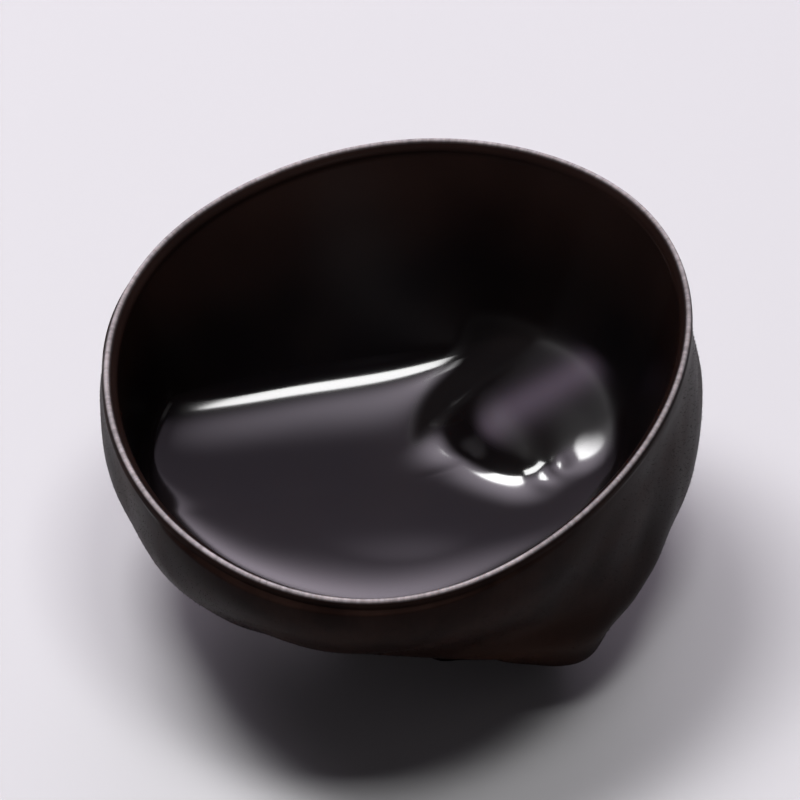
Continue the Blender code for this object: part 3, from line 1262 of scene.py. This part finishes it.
@dataclass
class EarDown:
    """The fine down on the outside, grown over the flesh by a node tree."""

    finish: DownFinish = field(default_factory=DownFinish)
    density: float = 5.0e6
    length: float = 0.13 * MM
    thickness: float = 0.013 * MM
    lean: float = math.radians(52)
    sides: int = 3
    # least and most: shares of the lean, radians of twist and shares of the size
    leans: Pair = (0.55, 1.25)
    twists: Pair = (-0.7, 0.7)
    sizes: Pair = (0.6, 1.35)
    seed: int = 7

    def tree(self, material: bpy.types.Material) -> bpy.types.NodeTree:
        """Builds the node tree that grows the hairs.

        Args:
            material: the hairs' finish.

        Returns:
            The tree, with named inputs for its sizes.
        """
        tree = bpy.data.node_groups.new("grow_down", "GeometryNodeTree")
        face = tree.interface
        face.new_socket("Flesh", in_out="INPUT", socket_type="NodeSocketGeometry")
        for name, kind, value in (("Density", "NodeSocketFloat", self.density),
                                  ("Length", "NodeSocketFloat", self.length),
                                  ("Thickness", "NodeSocketFloat", self.thickness),
                                  ("Lean", "NodeSocketFloat", self.lean),
                                  ("Seed", "NodeSocketInt", self.seed)):
            socket = face.new_socket(name, in_out="INPUT", socket_type=kind)
            socket.default_value = value
        face.new_socket("Down", in_out="OUTPUT", socket_type="NodeSocketGeometry")
        g = Wiring(tree)
        given = g.node("NodeGroupInput").outputs
        mask = g.node("GeometryNodeInputNamedAttribute", {"Name": "down"},
                      data_type="FLOAT").outputs["Attribute"]
        spots = g.node("GeometryNodeDistributePointsOnFaces", {
            "Mesh": given["Flesh"], "Seed": given["Seed"],
            "Density": g.math("MULTIPLY", mask, given["Density"])}).outputs
        hair = g.node("GeometryNodeMeshCone", {
            "Vertices": self.sides, "Radius Top": 0.0,
            "Radius Bottom": given["Thickness"], "Depth": given["Length"]})
        hairs = g.node("GeometryNodeInstanceOnPoints", {
            "Points": spots["Points"], "Instance": hair.outputs["Mesh"],
            "Rotation": spots["Rotation"], "Scale": g.random(*self.sizes)})
        # each hair leans down along the wall, by its own random amount
        lean = g.math("MULTIPLY", g.random(*self.leans, given["Seed"]), given["Lean"])
        turn = g.node("ShaderNodeCombineXYZ", {"Y": lean, "Z": g.random(*self.twists)})
        leant = g.node("GeometryNodeRotateInstances", {
            "Instances": hairs.outputs["Instances"],
            "Rotation": turn.outputs["Vector"]})
        real = g.node("GeometryNodeRealizeInstances",
                      {"Geometry": leant.outputs["Instances"]})
        dressed = g.node("GeometryNodeSetMaterial", {
            "Geometry": real.outputs["Geometry"], "Material": material})
        g.node("NodeGroupOutput", {"Down": dressed.outputs["Geometry"]})
        return tree

    def build(self, flesh: bpy.types.Object) -> bpy.types.Object:
        """Grows the hairs on the flesh and makes them a plain mesh.

        Args:
            flesh: the finished skin of the ear.

        Returns:
            The down, at the origin.
        """
        material = self.finish.build()
        carrier = put("down_carrier", flesh.data.copy())
        grow = carrier.modifiers.new("grow", "NODES")
        grow.node_group = self.tree(material)
        for item in grow.node_group.interface.items_tree:
            if item.in_out == "INPUT" and item.socket_type != "NodeSocketGeometry":
                grow[item.identifier] = item.default_value
        evaluated = carrier.evaluated_get(bpy.context.evaluated_depsgraph_get())
        mesh = bpy.data.meshes.new_from_object(evaluated)
        mesh.name = "ear_down"
        bpy.data.objects.remove(carrier)
        return put("ear_down", mesh)


# ------------------------------------------------------------------ the studio
@dataclass(frozen=True)
class Softbox:
    """A rectangular light over the ear, placed and sized by angles in degrees.

    Args:
        name: its name.
        right: how far it leans from straight above towards the right.
        back: how far it leans from straight above towards the back.
        width: how wide it looks from the ear.
        height: how high it looks.
        radiance: how bright it looks.
        tint: its colour.
        feather: the share of each half that fades towards the edge.
        distance: how far it is from the ear, in metres.
        aim: the place in the ear that it looks at.
    """

    name: str
    right: float
    back: float
    width: float
    height: float
    radiance: float
    tint: Colour = (1.0, 1.0, 1.0)
    feather: float = 0.6
    distance: float = 0.6
    aim: Triple = (-0.0048, 0.0010, 0.014)

    def build(self) -> None:
        """Makes the light."""
        lamp = bpy.data.lights.new(self.name, "AREA")
        lamp.shape = "RECTANGLE"
        lamp.size = 2.0 * self.distance * math.tan(math.radians(0.5 * self.width))
        lamp.size_y = 2.0 * self.distance * math.tan(math.radians(0.5 * self.height))
        lamp.energy = self.radiance * math.pi * lamp.size * lamp.size_y
        lamp.color = self.tint
        self.soften(lamp)
        lean = math.radians(math.hypot(self.right, self.back))
        azimuth = math.atan2(self.right, self.back)
        way = Vector((math.sin(azimuth) * math.sin(lean),
                      math.cos(azimuth) * math.sin(lean), math.cos(lean)))
        across = (Vector((1.0, 0.0, 0.0)) - way * way.x).normalized()
        turn = Matrix((across, way.cross(across), way)).transposed().to_4x4()
        light = put(self.name, lamp)
        place = Vector(self.aim) + way * self.distance
        light.matrix_world = Matrix.Translation(place) @ turn
        light.visible_camera = False

    def soften(self, lamp: bpy.types.AreaLight) -> None:
        """Fades the light from its middle to its edges.

        Args:
            lamp: the light, which is changed.
        """
        lamp.use_nodes = True
        g = Wiring(lamp.node_tree)
        place = g.node("ShaderNodeNewGeometry").outputs["Parametric"]
        sides = g.node("ShaderNodeSeparateXYZ", {"Vector": place}).outputs
        half = 0.5
        across, up = (
            g.span(g.math("ABSOLUTE", g.math("SUBTRACT", sides[axis], half)),
                   half * (1.0 - self.feather), half, 1.0, 0.0)
            for axis in "XY")
        g.feed(lamp.node_tree.nodes["Emission"].inputs["Strength"],
               g.math("MULTIPLY", across, up))


@dataclass
class Studio:
    """Pale floor, soft lights and the camera at the viewing angle."""

    elevation: float = math.radians(44.5)
    lens: float = 700.0
    frame_width: float = 61.0 * MM
    target: Triple = (-0.0045, -0.0014, 0.0226)
    ambient: Colour = (0.030, 0.028, 0.032)
    dish_radius: float = 4.0
    dish_height: float = 0.90
    dish_rings: int = 24
    dish_columns: int = 96
    dish_rise: Fade = Fade(0.55, 0.45)
    clip: Pair = (0.01, 10.0)
    glow_from: float = 1.25
    glow_size: float = 0.2
    glow_strength: float = 0.5
    softboxes: Sequence[Softbox] = (
        Softbox("overhead", 7.5, -4.0, 17.0, 15.0, 21.0, feather=0.15),
        Softbox("spark", -16.0, 10.0, 24.0, 16.0, 28.0, feather=0.3),
        Softbox("back_high", -14.0, 18.0, 68.0, 40.0, 3.7, (0.96, 0.86, 1.0), 1.0),
        Softbox("back_low", 10.0, 68.0, 50.0, 34.0, 4.2, (0.97, 0.86, 1.0), 1.0),
        Softbox("back_wide", 0.0, 40.0, 100.0, 70.0, 0.32, (0.95, 0.80, 1.0), 0.5),
        Softbox("front_soft", 12.0, -58.0, 18.0, 12.0, 3.5, (1.0, 0.93, 0.97), 1.0),
        Softbox("left_side", -60.0, -10.0, 30.0, 26.0, 0.3, (1.0, 0.93, 1.0)),
        Softbox("right_side", 60.0, -5.0, 26.0, 30.0, 0.2, (1.0, 0.95, 0.96)),
    )

    def build(self) -> None:
        """Sets the stage round the ear."""
        self.floor()
        self.camera()
        for box in self.softboxes:
            box.build()
        world = bpy.data.worlds.new("studio")
        world.use_nodes = True
        background = world.node_tree.nodes["Background"]
        background.inputs["Color"].default_value = (*self.ambient, 1.0)
        background.inputs["Strength"].default_value = 1.0
        scene = bpy.context.scene
        scene.world = world
        scene.view_settings.view_transform = "Standard"
        self.glow(scene)

    def glow(self, scene: bpy.types.Scene) -> None:
        """Lets the brightest glints spread a little, as they do in a real lens.

        Args:
            scene: the scene, which is changed.
        """
        scene.use_nodes = True
        scene.node_tree.nodes.clear()
        g = Wiring(scene.node_tree)
        layers = g.node("CompositorNodeRLayers")
        glare = g.node("CompositorNodeGlare", {
            "Image": layers.outputs["Image"], "Threshold": self.glow_from,
            "Size": self.glow_size, "Strength": self.glow_strength},
            glare_type="BLOOM")
        g.node("CompositorNodeComposite", {"Image": glare.outputs["Image"]})

    def floor(self) -> None:
        """Makes the floor: a wide level disc that rises softly at its edge."""
        share = np.linspace(0.0, 1.0, self.dish_rings + 1)[:, None]
        rise = self.dish_height * self.dish_rise.at(share) ** 2 * UP
        columns = np.array([share * self.dish_radius * outward(angle) + rise
                            for angle in turns(self.dish_columns)])
        mesh, _ = skin("studio_floor", columns, closed=False)
        mesh.materials.append(FloorFinish().build())
        floor = put("studio_floor", mesh)

    def camera(self) -> None:
        """Makes the camera, far off with a long lens, as the photograph looks."""
        lens = bpy.data.cameras.new("view")
        lens.lens = self.lens
        distance = self.frame_width * self.lens / lens.sensor_width
        lens.clip_start, lens.clip_end = self.clip
        camera = put("view", lens)
        back = Vector((0.0, -math.cos(self.elevation), math.sin(self.elevation)))
        camera.location = Vector(self.target) + back * distance
        camera.rotation_euler = (0.5 * math.pi - self.elevation, 0.0, 0.0)
        bpy.context.scene.camera = camera


def main() -> None:
    """Builds the ear and its studio, and reports each piece."""
    logging.basicConfig(level=logging.INFO, format="%(message)s")
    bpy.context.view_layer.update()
    flesh = EarFlesh().build()
    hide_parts(NODE)
    seat(flesh)
    seat(EarDown().build(flesh))
    Studio().build()


if __name__ == "__main__":
    main()
